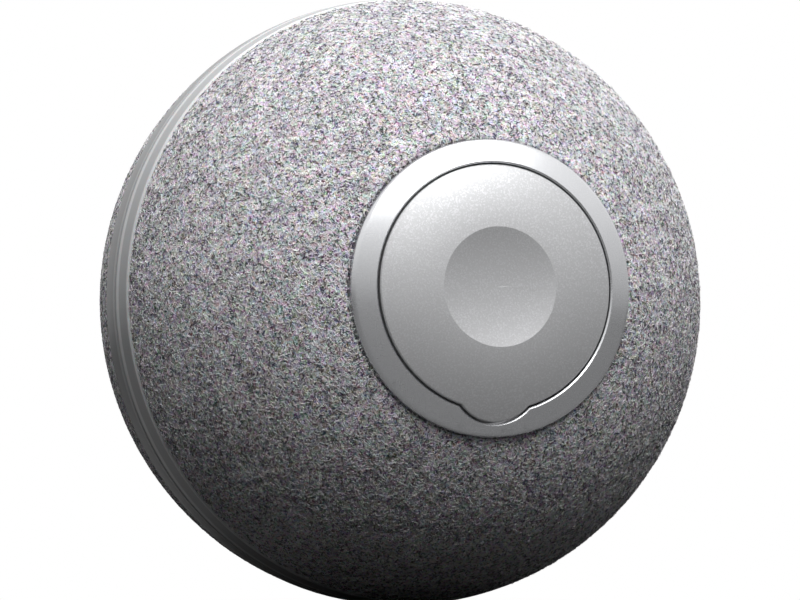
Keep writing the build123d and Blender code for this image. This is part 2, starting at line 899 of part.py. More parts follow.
with BuildPart() as chassis_base:
    housing_body(REAR, rear_wall)
    rods(rear_wall, end_wall, bay_outer_radius, [(0, 0)])
    add(module_cavity.part, mode=Mode.SUBTRACT)
    # Round bay for the gears, with posts for the plate's screws
    turned_piece(bay_radius, bay_outer_radius, rear_wall_inner, plate_front, 0, 360)
    rods(plate_front, gear_bay + end_wall, post_radius, plate_screws)
    rods(plate_front, plate_screw_length, screw_radius, plate_screws, Mode.SUBTRACT)
    cradle_ribs(REAR, [rear_wall_inner * place for place in rib_places])
    # Posts for the cover's screws
    rods(rear_wall_inner, rear_wall_inner - split_height, cover_post_radius, cover_screws)
    rods(
        cover_screw_length - cover_screw_seat + 0.5,
        cover_screw_length,
        screw_radius,
        cover_screws,
        Mode.SUBTRACT,
    )
    # Seats of the gear pins, and the hole for the motor's boss
    rods(rear_wall + layer_gap / 2, end_wall, gear_shoulder, [middle_gear, last_gear])
    rods(
        rear_wall + 1, end_wall + 2, gear_pin_radius + press_gap, [middle_gear, last_gear], Mode.SUBTRACT
    )
    rods(rear_wall + 1, end_wall + 2, motor_boss_radius + part_gap, [motor_axis], Mode.SUBTRACT)

with BuildPart() as chassis_cover:
    housing_body(FRONT, front_wall)
    # The front wall rises behind the bush, and the hollow journal grows from it
    backing = journal_radius + running_gap + bush_wall + flange_reach
    rods(-front_wall_inner, end_wall, backing, [(0, 0)])
    add(module_cavity.part, mode=Mode.SUBTRACT)
    rods(-front_wall_inner, nose_height - front_wall_inner, journal_radius, [(0, 0)])
    rods(-front_wall_inner + 1, nose_height, journal_radius - journal_wall, [(0, 0)], Mode.SUBTRACT)
    cradle_ribs(FRONT, [front_wall_inner * cover_rib_place])
    rods(-split_height, cover_screw_seat + end_wall, cover_post_radius, cover_screws)
    rods(1, section_radius, screw_radius + screw_gap, cover_screws, Mode.SUBTRACT)
    rods(-cover_screw_seat, section_radius, screw_head_radius + screw_gap, cover_screws, Mode.SUBTRACT)

with BuildPart() as gear_plate:
    rods(plate_rear, plate_thickness, bay_outer_radius, [(0, 0)])
    boss_end = web_front - layer_gap
    rods(boss_end, boss_end - plate_front, axle_radius + axle_boss_wall, [(0, 0)])
    rods(boss_end, boss_end - plate_front, axle_radius + press_gap, [(0, 0)], Mode.SUBTRACT)
    rods(plate_rear, plate_thickness, last_pinion_radius + layer_gap, [last_gear], Mode.SUBTRACT)
    rods(plate_rear, plate_thickness, gear_pin_radius + press_gap, [middle_gear], Mode.SUBTRACT)
    rods(plate_rear, plate_thickness, screw_radius + screw_gap, plate_screws, Mode.SUBTRACT)
    with BuildSketch(station(plate_rear)) as sinks:
        with Locations(*plate_screws):
            Circle(flat_head_radius + screw_gap / 2)
    extrude(sinks.sketch, amount=flat_head_height + seat_gap, taper=42, mode=Mode.SUBTRACT)

with BuildPart() as rear_axle:
    rods(ledge_height - 0.5, ledge_height - 0.5 - plate_front, axle_radius, [(0, 0)])
    chamfer(hoops(rear_axle), 0.15)

with BuildPart() as gear_pins:
    rods(plate_rear - 0.1, plate_rear - 0.1 - rear_wall_inner - 0.1, gear_pin_radius, [middle_gear])
    rods(ring_side, ring_side - rear_wall_inner - 0.1, gear_pin_radius, [last_gear])


# Screws

def screw_set(spots, head_y, side, length, flat=False):
    # Head towards the side given, with a straight slot, and the shank running the other way
    with BuildPart() as screws:
        if flat:
            with BuildSketch(station(head_y)) as heads:
                with Locations(*spots):
                    Circle(flat_head_radius)
            extrude(heads.sketch, amount=side * flat_head_height, taper=42)
        else:
            rods(head_y, side * screw_head_height, screw_head_radius, spots)
            rims = hoops(screws).sort_by(Axis.Y)
            top_rims = rims[-len(spots) :] if side == REAR else rims[: len(spots)]
            chamfer(top_rims, 0.2)
        rods(
            head_y - side * drive_slot_depth,
            side * (length - drive_slot_depth),
            screw_radius - press_gap,
            spots,
        )
        with BuildSketch(station(head_y)) as slots:
            with Locations(*spots):
                Rectangle(drive_slot_span, drive_slot)
                Rectangle(drive_slot, drive_slot_span)
        extrude(slots.sketch, amount=side * drive_slot_depth, mode=Mode.SUBTRACT)
    return screws


cover_head = -(cover_screw_seat + screw_head_height + seat_gap)
cover_screw_set = screw_set(cover_screws, cover_head, FRONT, cover_screw_length + screw_head_height)
plate_screw_set = screw_set(plate_screws, plate_rear - seat_gap, REAR, plate_screw_length, flat=True)
ring_screw_set = screw_set(
    ring_screws, ledge_height - seat_gap, REAR, ring_screw_length + screw_head_height
)


# Motor, battery and counterweight

with BuildPart() as gear_motor:
    with BuildSketch(station(motor_face)) as can:
        add(motor_outline())
    extrude(can.sketch, amount=motor_length)
    can_ends = [face for face in gear_motor.faces().filter_by(Axis.Y)]
    fillet([edge for face in can_ends for edge in face.edges()], 0.4)
    rods(motor_face + motor_boss_length, motor_boss_length + 1, motor_boss_radius, [motor_axis])
    bore_length = motor_boss_length + shaft_depth + layer_gap
    rods(
        motor_face + motor_boss_length,
        bore_length,
        gear_pin_radius + gear_bore_gap,
        [motor_axis],
        Mode.SUBTRACT,
    )

with BuildPart() as motor_end:
    end_y = motor_face - motor_length - seat_gap
    with BuildSketch(station(end_y)) as end_face:
        add(motor_outline(-0.5))
    extrude(end_face.sketch, amount=motor_end_length)
    with BuildSketch(station(end_y - motor_end_length)) as brush_boss:
        with Locations(motor_axis):
            Circle(1.6)
            with Locations((0, -terminal_offset), (0, terminal_offset)):
                Rectangle(2.2, 0.8)
    extrude(brush_boss.sketch, amount=terminal_length)

with BuildPart() as battery:
    with BuildSketch(station(battery_rear)) as cell:
        add(battery_outline())
    extrude(cell.sketch, amount=battery_length)
    fillet([edge for face in battery.faces().filter_by(Axis.Y) for edge in face.edges()], 0.5)
    with BuildSketch(station(battery_front)) as tabs:
        with Locations(*[(battery_x + offset, battery_z + battery_tab_z) for offset in battery_tabs]):
            Rectangle(1.4, 2.0)
    extrude(tabs.sketch, amount=battery_front - terminal_front)

with BuildPart() as counterweight:
    with BuildSketch(Plane.XY) as weight_section:
        weight_radius = module_inner_radius - part_gap
        with BuildLine():
            front_end = dome_point(FRONT, weight_radius, weight_front)
            dome_arc(FRONT, weight_radius, 0, weight_front)
            Polyline(
                front_end,
                (0, -weight_front),
                (0, weight_rear),
                dome_point(REAR, weight_radius, weight_rear),
            )
            dome_arc(REAR, weight_radius, weight_rear, 0)
        make_face()
    revolve(weight_section.sketch, axis=Axis.Y)
    split(bisect_by=Plane.XY.offset(weight_top), keep=Keep.BOTTOM)
    chamfer(counterweight.faces().sort_by(Axis.Z)[-1].edges(), 0.3)


# Charging face, socket, button and light

port_board_rear = -(nose_height - face_spigot - 0.1) + port_board_length
socket_mouth = -(nose_height + face_thickness - socket_inset)
socket_centre = port_board_top + seat_gap + socket_height / 2
board_bottom = port_board_top - board_thickness
button_z = board_bottom - seat_gap - switch_height / 2


def slot_outline(width, height, corner):
    with BuildSketch() as outline:
        with Locations((0, socket_centre)):
            RectangleRounded(width, height, corner)
    return outline.sketch


with BuildPart() as charging_face:
    face_back = -(nose_height + seat_gap)
    rods(face_back, face_thickness, well_radius - face_gap, [(0, 0)])
    chamfer(hoops(charging_face).sort_by(Axis.Y)[0], 0.2)
    spigot = journal_radius - journal_wall - joint_clearance / 2
    rods(face_back + face_spigot, face_spigot, spigot, [(0, 0)])
    rods(face_back + face_spigot, face_spigot, spigot - 0.7, [(0, 0)], Mode.SUBTRACT)
    # Shelves for the edges of the board
    shelf_span = port_board_width - 0.5
    with BuildSketch(station(face_back + face_spigot + port_board_length * 0.7)) as shelves:
        with Locations((0, board_bottom - seat_gap)):
            Rectangle(shelf_span, shelf_thickness, align=(Align.CENTER, Align.MAX))
            Rectangle(shelf_span - 2 * shelf_width, 4, mode=Mode.SUBTRACT)
    extrude(shelves.sketch, amount=face_spigot + port_board_length * 0.7)
    with BuildSketch(station(face_back + face_spigot)) as openings:
        add(
            slot_outline(
                socket_width + 2 * slot_gap, socket_height + 2 * slot_gap, socket_round + slot_gap
            ),
        )
        with Locations((0, button_z)):
            Circle(button_radius + button_gap)
        with Locations((lens_x, lens_z)):
            Circle(lens_radius + press_gap)
    extrude(openings.sketch, amount=face_spigot + 2 * face_thickness, mode=Mode.SUBTRACT)

with BuildPart() as charging_socket:
    with BuildSketch(station(socket_mouth + socket_length)) as socket_shell:
        add(slot_outline(socket_width, socket_height, socket_round))
    extrude(socket_shell.sketch, amount=socket_length)
    with BuildSketch(station(socket_mouth + socket_length - 1)) as socket_hollow:
        add(
            slot_outline(
                socket_width - 2 * socket_wall,
                socket_height - 2 * socket_wall,
                socket_round - socket_wall,
            ),
        )
    extrude(socket_hollow.sketch, amount=socket_length, mode=Mode.SUBTRACT)

with BuildPart() as socket_contacts:
    with BuildSketch(station(socket_mouth + socket_length - 1 - seat_gap)) as contact_face:
        with Locations((0, socket_centre)):
            Rectangle(contact_plate[0], contact_plate[1])
    extrude(contact_face.sketch, amount=contact_plate[2])

with BuildPart() as port_board:
    with BuildSketch(station(port_board_rear)) as port_board_end:
        with Locations((0, port_board_top)):
            Rectangle(port_board_width, board_thickness, align=(Align.CENTER, Align.MAX))
    extrude(port_board_end.sketch, amount=port_board_length)

with BuildPart() as power_button:
    flange_front = face_back + seat_gap
    rods(flange_front, face_thickness + seat_gap + button_proud, button_radius, [(0, button_z)])
    fillet(hoops(power_button).sort_by(Axis.Y)[0], 0.25)
    rods(
        flange_front + button_flange_thickness,
        button_flange_thickness,
        button_radius + button_flange,
        [(0, button_z)],
    )
    rods(
        flange_front + button_flange_thickness + plunger_length,
        plunger_length,
        plunger_radius,
        [(0, button_z)],
    )

with BuildPart() as tact_switch:
    switch_front = flange_front + button_flange_thickness + button_travel + seat_gap
    with BuildSketch(station(switch_front + switch_length)) as switch_end:
        with Locations((0, button_z)):
            RectangleRounded(switch_width, switch_height, 0.3)
    extrude(switch_end.sketch, amount=switch_length)
    rods(
        switch_front + plunger_length,
        plunger_length + 1,
        plunger_radius + running_gap,
        [(0, button_z)],
        Mode.SUBTRACT,
    )

with BuildPart() as light_pipe:
    rods(face_back + lens_length - face_thickness, lens_length, lens_radius, [(lens_x, lens_z)])
    fillet(hoops(light_pipe).sort_by(Axis.Y)[0], 0.15)

with BuildPart() as status_light:
    light_front = face_back + lens_length - face_thickness + seat_gap
    with BuildSketch(station(light_front + 0.9)) as light_end:
        with Locations((lens_x, board_bottom - seat_gap)):
            Rectangle(1.6, 2.2, align=(Align.CENTER, Align.MAX))
    extrude(light_end.sketch, amount=0.9)

main_top = rib_top + seat_gap + board_thickness
main_board_front = socket_mouth + socket_length + main_board_gap
main_board_rear = rear_wall_inner - main_board_wall_gap
main_board_length = main_board_rear - main_board_front
main_board_middle = (main_board_rear + main_board_front) / 2


def board_spot(across, along):
    # A place on the main board, in shares of its half width and half length
    return (across * main_board_width / 2, main_board_middle + along * main_board_length / 2)


with BuildPart() as main_board:
    with BuildSketch(Plane.XY.offset(main_top - board_thickness)) as main_outline:
        with Locations((0, main_board_middle)):
            RectangleRounded(main_board_width, main_board_length, 1.0)
    extrude(main_outline.sketch, amount=board_thickness)

# Bodies on the board: place of the centre in shares, then width, depth and height
plug_places = (-0.78, 0.78)
plug_size = (3.0, 2.4, 1.8)
board_bodies = (
    (-0.29, 0.0, 4.0, 4.0, 0.8),
    (-0.78, 0.55, 3.0, 2.6, 0.9),
    (0.2, -0.55, 2.0, 1.2, 0.6),
    (0.2, -0.1, 2.0, 1.2, 0.6),
    (-0.22, 0.72, 3.2, 1.5, 0.7),
    (0.78, 0.5, 3.0, 3.0, 1.5),
    (-0.45, -0.7, 1.0, 0.6, 0.5),
    (-0.25, -0.7, 1.0, 0.6, 0.5),
    (0.2, 0.4, 1.0, 0.6, 0.5),
    *[(place, -0.66, *plug_size) for place in plug_places],
)

with BuildPart() as board_parts:
    for across, along, width, depth, height in board_bodies:
        with BuildSketch(Plane.XY.offset(main_top + seat_gap)) as body:
            with Locations(board_spot(across, along)):
                Rectangle(width, depth)
        extrude(body.sketch, amount=height)

with BuildPart() as motion_sensor:
    with BuildSketch(Plane.XY.offset(main_top + seat_gap)) as sensor_base:
        with Locations(board_spot(0.48, 0.4)):
            Circle(1.1)
    extrude(sensor_base.sketch, amount=2.2)
    fillet(motion_sensor.edges().filter_by(GeomType.CIRCLE).sort_by(Axis.Z)[-1], 0.3)


# Leads: down from a plug on the board, round a bend and along to the cell or the motor

def lead_pair(starts, ends):
    with BuildPart() as leads:
        for start, end in zip(starts, ends):
            with BuildLine() as route:
                FilletPolyline(*[start, (start[0], end[1], start[2]), end], radius=lead_bend)
            with BuildSketch(Plane(origin=start, z_dir=(0, end[1] - start[1], 0))) as section:
                Circle(lead_radius)
            sweep(section.sketch, path=route.line)
    return leads


plug_height = main_top + seat_gap + plug_size[2] * 2 / 3


def plug_exits(place):
    # Where a pair of leads leaves its plug, the outer one first
    middle, along = board_spot(place, -0.66)
    front = along - plug_size[1] / 2 - seat_gap
    return [(middle + sign * lead_spacing / 2, front, plug_height) for sign in (-1, 1)]


cell_terminals = [(battery_x + offset, lead_front, battery_z + battery_tab_z) for offset in battery_tabs]
motor_terminals = [
    (motor_x, lead_front, motor_z + offset) for offset in (terminal_offset, -terminal_offset)
]
battery_leads = lead_pair(plug_exits(plug_places[0]), cell_terminals)
motor_leads = lead_pair(plug_exits(plug_places[1]), motor_terminals)

for piece, name in (
    (front_half_shell, "front_half_shell"),
    (rear_half_shell, "rear_half_shell"),
    (front_felt_cover, "front_felt_cover"),
    (rear_felt_cover, "rear_felt_cover"),
    (front_trim_ring, "front_trim_ring"),
    (rear_trim_ring, "rear_trim_ring"),
    (port_lid, "port_lid"),
    (rear_cap, "rear_cap"),
    (front_bush, "front_bush"),
    (rear_bush, "rear_bush"),
    (middle_gear_cluster, "middle_gear"),
    (last_gear_cluster, "last_gear"),
    (motor_pinion, "motor_pinion"),
    (drive_ring, "drive_ring"),
    (chassis_base, "chassis_base"),
    (chassis_cover, "chassis_cover"),
    (gear_plate, "gear_plate"),
    (rear_axle, "rear_axle"),
    (gear_pins, "gear_pins"),
    (cover_screw_set, "cover_screws"),
    (plate_screw_set, "plate_screws"),
    (ring_screw_set, "ring_screws"),
    (gear_motor, "gear_motor"),
    (motor_end, "motor_end"),
    (battery, "battery"),
    (counterweight, "counterweight"),
    (charging_face, "charging_face"),
    (charging_socket, "charging_socket"),
    (socket_contacts, "socket_contacts"),
    (port_board, "port_board"),
    (power_button, "power_button"),
    (tact_switch, "tact_switch"),
    (light_pipe, "light_pipe"),
    (status_light, "status_light"),
    (main_board, "main_board"),
    (board_parts, "board_parts"),
    (motion_sensor, "motion_sensor"),
    (motor_leads, "motor_leads"),
    (battery_leads, "battery_leads"),
):
    save(piece, name)
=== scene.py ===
import json
import math

import bmesh
import bpy
import numpy as np
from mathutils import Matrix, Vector, noise


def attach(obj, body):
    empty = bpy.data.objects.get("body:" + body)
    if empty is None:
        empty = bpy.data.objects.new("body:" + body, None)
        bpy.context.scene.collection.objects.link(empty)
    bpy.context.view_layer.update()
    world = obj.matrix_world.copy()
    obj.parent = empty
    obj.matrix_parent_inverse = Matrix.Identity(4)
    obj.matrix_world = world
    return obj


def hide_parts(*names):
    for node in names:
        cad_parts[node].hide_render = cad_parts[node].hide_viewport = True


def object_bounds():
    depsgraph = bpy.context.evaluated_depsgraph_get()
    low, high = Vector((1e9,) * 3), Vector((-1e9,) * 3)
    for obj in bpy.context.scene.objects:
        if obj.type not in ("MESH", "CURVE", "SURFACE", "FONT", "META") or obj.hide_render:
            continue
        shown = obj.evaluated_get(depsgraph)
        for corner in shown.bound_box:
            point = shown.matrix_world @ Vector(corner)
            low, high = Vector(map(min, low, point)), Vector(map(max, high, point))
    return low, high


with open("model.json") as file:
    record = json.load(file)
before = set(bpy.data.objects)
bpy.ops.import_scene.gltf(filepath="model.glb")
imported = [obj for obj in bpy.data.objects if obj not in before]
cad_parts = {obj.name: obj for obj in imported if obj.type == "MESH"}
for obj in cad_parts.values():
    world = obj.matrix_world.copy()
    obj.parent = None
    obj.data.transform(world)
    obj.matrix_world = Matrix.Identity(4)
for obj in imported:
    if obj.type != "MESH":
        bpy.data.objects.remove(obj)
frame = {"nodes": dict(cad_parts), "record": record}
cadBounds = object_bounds()
nodes = frame["nodes"]
millimetre = 0.001


# Shader building: a wire carries one socket, and sums on wires add Math nodes

class Wire:
    def __init__(self, web, socket):
        self.web = web
        self.socket = socket

    def sum(self, operation, *others):
        sockets = dict(enumerate((self, *others)))
        return self.web.node("ShaderNodeMath", {"operation": operation}, sockets)

    def __add__(self, other):
        return self.sum("ADD", other)

    __radd__ = __add__

    def __sub__(self, other):
        return self.sum("SUBTRACT", other)

    def __rsub__(self, other):
        return self * -1 + other

    def __mul__(self, other):
        return self.sum("MULTIPLY", other)

    def __truediv__(self, other):
        return self.sum("DIVIDE", other)

    def __lt__(self, other):
        return self.sum("LESS_THAN", other)

    def __gt__(self, other):
        return self.sum("GREATER_THAN", other)


class Web:
    def __init__(self, tree, place="Object"):
        self.tree = tree
        self.tree.nodes.clear()
        self.place = self.node("ShaderNodeTexCoord", out=place)

    def node(self, kind, settings=None, sockets=None, out=0):
        made = self.tree.nodes.new(kind)
        for key, value in (settings or {}).items():
            setattr(made, key, value)
        for key, value in (sockets or {}).items():
            if isinstance(value, Wire):
                self.tree.links.new(value.socket, made.inputs[key])
            elif isinstance(value, tuple) and len(made.inputs[key].default_value) == 4:
                made.inputs[key].default_value = (*value, 1)
            else:
                made.inputs[key].default_value = value
        return Wire(self, made.outputs[out]) if made.outputs else made

    def mapped(self, stretch=(1, 1, 1), turn=(0, 0, 0)):
        turned = tuple(math.radians(angle) for angle in turn)
        sockets = {"Vector": self.place, "Scale": stretch, "Rotation": turned}
        return self.node("ShaderNodeMapping", None, sockets)

    # Cloudy pattern with features of about the size given, in millimetres
    def clouds(self, size, detail=2, rough=0.5, stretch=(1, 1, 1), turn=(0, 0, 0), out=0):
        sockets = {
            "Vector": self.mapped(stretch, turn),
            "Scale": 1 / (size * millimetre),
            "Detail": detail,
            "Roughness": rough,
        }
        return self.node("ShaderNodeTexNoise", None, sockets, out)

    def cells(self, size, out="Distance", stretch=(1, 1, 1), turn=(0, 0, 0)):
        sockets = {"Vector": self.mapped(stretch, turn), "Scale": 1 / (size * millimetre)}
        return self.node("ShaderNodeTexVoronoi", None, sockets, out)

    def span(self, value, low, high, start=0, end=1):
        sockets = {"Value": value, "From Min": low, "From Max": high}
        sockets |= {"To Min": start, "To Max": end}
        return self.node("ShaderNodeMapRange", None, sockets)

    def blend(self, share, first, second, kind="MIX"):
        settings = {"data_type": "RGBA", "blend_type": kind}
        return self.node("ShaderNodeMix", settings, {0: share, 6: first, 7: second}, out=2)

    def vector(self, operation, first, second=None, out=0):
        sockets = {0: first}
        if second is not None:
            sockets[3 if operation == "SCALE" else 1] = second
        return self.node("ShaderNodeVectorMath", {"operation": operation}, sockets, out)

    def between(self, share, first, second):
        sockets = {0: share, 4: first, 5: second}
        return self.node("ShaderNodeMix", {"data_type": "VECTOR"}, sockets, out=1)

    def bump(self, height, depth, strength=1, under=None):
        sockets = {"Height": height, "Distance": depth * millimetre, "Strength": strength}
        if under:
            sockets["Normal"] = under
        return self.node("ShaderNodeBump", None, sockets)


def finish(name, paint):
    material = bpy.data.materials.new(name)
    material.use_nodes = True
    web = Web(material.node_tree)
    shader = web.node("ShaderNodeBsdfPrincipled", None, paint(web))
    web.node("ShaderNodeOutputMaterial", None, {"Surface": shader})
    return material


# Camera, floor and light

view = {
    "azimuth": -21.3,  # round the ball from the lid's side
    "elevation": -3.45,
    "distance": 0.86,
    "lens": 545.5,
    "sensor": 36,
    "clip": (0.01, 20),
    "shift": (0.0001, 0.0026),
}
light = {
    "keyPlace": (0.15, 0.89, 0.41),  # right, up and back of the ball, as the camera sees it
    "keyDistance": 0.5,
    "keySize": 0.6,
    "keyPower": 4.95,
    "sky": 0.25,  # soft light from above the horizon
    "skyRise": (-0.02, 0.06),
    "mirrored": (0.45, 1.4),  # what gloss sees at the horizon and overhead
    "mirroredRise": (-0.08, 0.5),
}
floor = {
    "size": 3.0,
    "bounce": 0.02,  # its tone as the ball's light comes off it
    "mirrored": 0.2,  # as gloss sees it
    "shown": 0.93,  # as the camera sees it
    "fade": (0.07, 0.22),  # distance in which it turns into the white background
}


def cameraAxes():
    turn, lift = math.radians(view["azimuth"]), math.radians(view["elevation"])
    level = math.cos(lift)
    back = Vector((math.sin(turn) * level, -math.cos(turn) * level, math.sin(lift)))
    right = Vector((math.cos(turn), math.sin(turn), 0))
    return right, back.cross(right), back


def makeCamera():
    back = cameraAxes()[2]
    data = bpy.data.cameras.new("studioCamera")
    data.lens = view["lens"]
    data.sensor_width = view["sensor"]
    data.shift_x, data.shift_y = view["shift"]
    data.clip_start, data.clip_end = view["clip"]
    camera = bpy.data.objects.new("studioCamera", data)
    bpy.context.scene.collection.objects.link(camera)
    camera.location = back * view["distance"]
    camera.rotation_mode = "QUATERNION"
    camera.rotation_quaternion = (-back).to_track_quat("-Z", "Y")
    bpy.context.scene.camera = camera


def makeLamp(name, place, distance, size, power):
    right, up, back = cameraAxes()
    away = (right * place[0] + up * place[1] + back * place[2]).normalized()
    data = bpy.data.lights.new(name, "AREA")
    data.shape = "DISK"
    data.size = size
    data.energy = power
    lamp = bpy.data.objects.new(name, data)
    bpy.context.scene.collection.objects.link(lamp)
    lamp.location = away * distance
    lamp.rotation_mode = "QUATERNION"
    lamp.rotation_quaternion = away.to_track_quat("Z", "Y")


def makeWorld():
    world = bpy.data.worlds.new("studio")
    world.use_nodes = True
    bpy.context.scene.world = world
    web = Web(world.node_tree, "Generated")
    rise = web.node("ShaderNodeSeparateXYZ", None, {0: web.place}, out=2)
    above = web.span(rise, *light["skyRise"], 0, light["sky"])
    mirrored = web.span(rise, *light["mirroredRise"], *light["mirrored"])
    path = web.node("ShaderNodeLightPath", out="Is Camera Ray")
    glossy = web.node("ShaderNodeLightPath", out="Is Glossy Ray")
    through = web.node("ShaderNodeLightPath", out="Is Transmission Ray")
    reflected = glossy.sum("MAXIMUM", through)
    strength = above + (mirrored - above) * reflected
    strength = strength.sum("MAXIMUM", path)
    glow = web.node("ShaderNodeBackground", None, {"Color": (1.0, 1.0, 1.0), "Strength": strength})
    web.node("ShaderNodeOutputWorld", None, {"Surface": glow})


def makeFloor():
    mesh = bpy.data.meshes.new("studioFloor")
    form = bmesh.new()
    bmesh.ops.create_grid(form, x_segments=1, y_segments=1, size=floor["size"] / 2)
    bmesh.ops.translate(form, verts=form.verts, vec=(0, 0, cadBounds[0][2]))
    form.to_mesh(mesh)
    form.free()
    ground = bpy.data.objects.new("studioFloor", mesh)
    bpy.context.scene.collection.objects.link(ground)
    material = bpy.data.materials.new("paleFloor")
    material.use_nodes = True
    web = Web(material.node_tree)
    seen = web.node("ShaderNodeLightPath", out="Is Camera Ray")
    glossy = web.node("ShaderNodeLightPath", out="Is Glossy Ray")
    tone = web.blend(glossy, (floor["bounce"],) * 3, (floor["mirrored"],) * 3)
    tone = web.blend(seen, tone, (floor["shown"],) * 3)
    card = web.node("ShaderNodeBsdfDiffuse", None, {"Color": tone})
    # Far from the ball the floor runs out into the white of the background
    far = web.span(web.vector("LENGTH", web.place, out=1), *floor["fade"]) * seen
    white = web.node("ShaderNodeEmission", None, {"Color": (1.0, 1.0, 1.0)})
    card = web.node("ShaderNodeMixShader", None, {0: far, 1: card, 2: white})
    under = web.node("ShaderNodeNewGeometry", out="Backfacing")
    clear = web.node("ShaderNodeBsdfTransparent")
    both = web.node("ShaderNodeMixShader", None, {0: under, 1: card, 2: clear})
    web.node("ShaderNodeOutputMaterial", None, {"Surface": both})
    mesh.materials.append(material)


bpy.context.scene.view_settings.view_transform = "Standard"
makeCamera()
makeLamp(
    "keyLamp", light["keyPlace"], light["keyDistance"], light["keySize"], light["keyPower"],
)
makeWorld()
makeFloor()
print("camera, floor and light are set")


# Finishes of the moulded, plated and turned pieces

band = {
    "colour": (0.28, 0.284, 0.294),
    "bright": (0.56, 0.565, 0.575),
    "rear": (0.14, 0.143, 0.15),  # painted shade: the rear shell's band is coloured darker than the front one
    "bevel": (-0.75, -0.2),  # painted highlight on the front shell's bevel beside the parting line
    "lip": (-2.42, -1.92),  # painted highlight along the edge beside the front felt
    "parting": (-0.2, 0.5),  # paler strip painted over the parting groove to lift its shade, less pale than the highlights
    "cloud": 0.15,
    "roughness": 0.3,
    "depth": 0.004,
}
plated = {
    "colour": (0.55, 0.555, 0.57),
    "roughness": 0.22,
    "scratch": 0.08,
    "crownRing": 2.6,  # the crown is an arc about a ring of centres
    "crownArc": 19.25,
    "crownReach": (8.84, 10.125),
    "shoulderRing": 9.93,
    "shoulderHeight": 17.258,
    "shoulderRound": 0.5,
    "slack": 0.02,
}
lacquer = {
    "colour": (0.415, 0.417, 0.425),
    "flake": (0.72, 0.73, 0.75),
    "flakeSize": 0.09,
    "roughness": 0.46,
}


def shaded(colour, share):
    return tuple(min(1, value * share) for value in colour)


def paintBand(web):
    mist = web.clouds(3.0, 4, 0.6)
    grain = web.clouds(0.12, 3, 0.6)
    scuffs = web.span(web.clouds(0.5, 3, 0.7, (1, 9, 1), (0, 25, 0)), 0.58, 0.75)
    along = web.node("ShaderNodeSeparateXYZ", None, {0: web.place}, out=1) / millimetre

    def strip(edges, reach, share):
        middle, half = sum(edges) / 2, (edges[1] - edges[0]) / 2
        return web.span((along - middle).sum("ABSOLUTE"), half * 0.6, half * reach, share, 0)

    # Painted highlights: pale strips along the edge by the front felt and on the bevel by the
    # parting line
    wearAndPaintedHighlight = strip(band["lip"], 1.1, 1) + strip(band["bevel"], 1.1, 1)
    # The rear shell gets a darker copy of the tone, a painted shade
    front = web.blend(mist, band["colour"], shaded(band["colour"], 1 + band["cloud"]))
    rear = web.blend(mist, band["rear"], shaded(band["rear"], 1 + band["cloud"]))
    tone = web.blend(along > 0.02, front, rear)
    # Painted light: a paler strip over the parting groove lifts its shade
    tone = web.blend(strip(band["parting"], 1, 0.3), tone, band["bright"])
    return {
        "Base Color": web.blend(wearAndPaintedHighlight, tone, band["bright"]),
        "Roughness": band["roughness"] + mist * 0.08 + scuffs * 0.12,
        "IOR": 1.5,
        "Coat Weight": 0.12,
        "Coat Roughness": 0.2,
        "Subsurface Weight": 0.15,
        "Subsurface Scale": 0.0015,
        "Normal": web.bump(grain + scuffs * 0.6, band["depth"], 0.5),
    }


def turnedNormal(web):
    # Crown and shoulder shade as truly turned, whatever facets lie under them
    slack = plated["slack"] * millimetre
    flat = web.vector("MULTIPLY", web.place, (1, 0, 1))
    reach = web.vector("LENGTH", flat, out=1)
    outward = web.vector("NORMALIZE", flat)
    height = web.node("ShaderNodeSeparateXYZ", None, {0: web.place}, out=1)
    side = height.sum("SIGN") * (plated["shoulderHeight"] * millimetre)

    def about(ring, rise):
        middle = web.vector("SCALE", outward, ring * millimetre)
        middle = web.vector("ADD", middle, web.node("ShaderNodeCombineXYZ", None, {1: rise}))
        return web.vector("SUBTRACT", web.place, middle)

    def near(arm, length):
        return (web.vector("LENGTH", arm, out=1) - length * millimetre).sum("ABSOLUTE") < slack

    crown, shoulder = about(plated["crownRing"], 0), about(plated["shoulderRing"], side)
    onCrown, onShoulder = near(crown, plated["crownArc"]), near(shoulder, plated["shoulderRound"])
    low, high = (edge * millimetre for edge in plated["crownReach"])
    outside = reach > high
    away = web.vector("NORMALIZE", web.between(outside, crown, shoulder))
    turning = {"vector_type": "NORMAL", "convert_from": "OBJECT", "convert_to": "WORLD"}
    away = web.node("ShaderNodeVectorTransform", turning, {0: away})
    share = onCrown * (reach > low) * (1 - outside) + onShoulder * outside
    return web.between(share, web.node("ShaderNodeNewGeometry", out="Normal"), away)


def paintPlated(web):
    haze = web.clouds(1.4, 4, 0.6)
    scratches = web.span(web.clouds(0.9, 3, 0.7, (1, 1, 30), (0, 35, 10)), 0.6, 0.75)
    crossing = web.span(web.clouds(0.9, 3, 0.7, (30, 1, 1), (0, 20, 35)), 0.6, 0.75)
    wear = scratches.sum("MAXIMUM", crossing)
    return {
        "Base Color": web.blend(haze * 0.6, plated["colour"], shaded(plated["colour"], 0.86)),
        "Metallic": 0.9,
        "Roughness": plated["roughness"] + haze * 0.06 + wear * plated["scratch"],
        "Coat Weight": 0.12,
        "Coat Roughness": 0.05,
        "Normal": web.bump(haze + wear * -0.1, 0.002, 0.25, turnedNormal(web)),
    }


def paintLacquer(web):
    flakes = web.cells(lacquer["flakeSize"], "Color")
    bright = web.span(flakes, 0.56, 0.8)
    dust = web.clouds(0.16, 3, 0.7)
    mist = web.clouds(2.5, 3, 0.5)
    base = web.blend(mist * 0.3, lacquer["colour"], shaded(lacquer["colour"], 0.9))
    return {
        "Base Color": web.blend(bright * 0.32, base, lacquer["flake"]),
        "Metallic": 0.7,
        "Roughness": lacquer["roughness"] - bright * 0.14 + dust * 0.06,
        "Coat Weight": 0.15,
        "Coat Roughness": 0.3,
        "Normal": web.bump(flakes + dust * 0.5, 0.012, 0.3),
    }


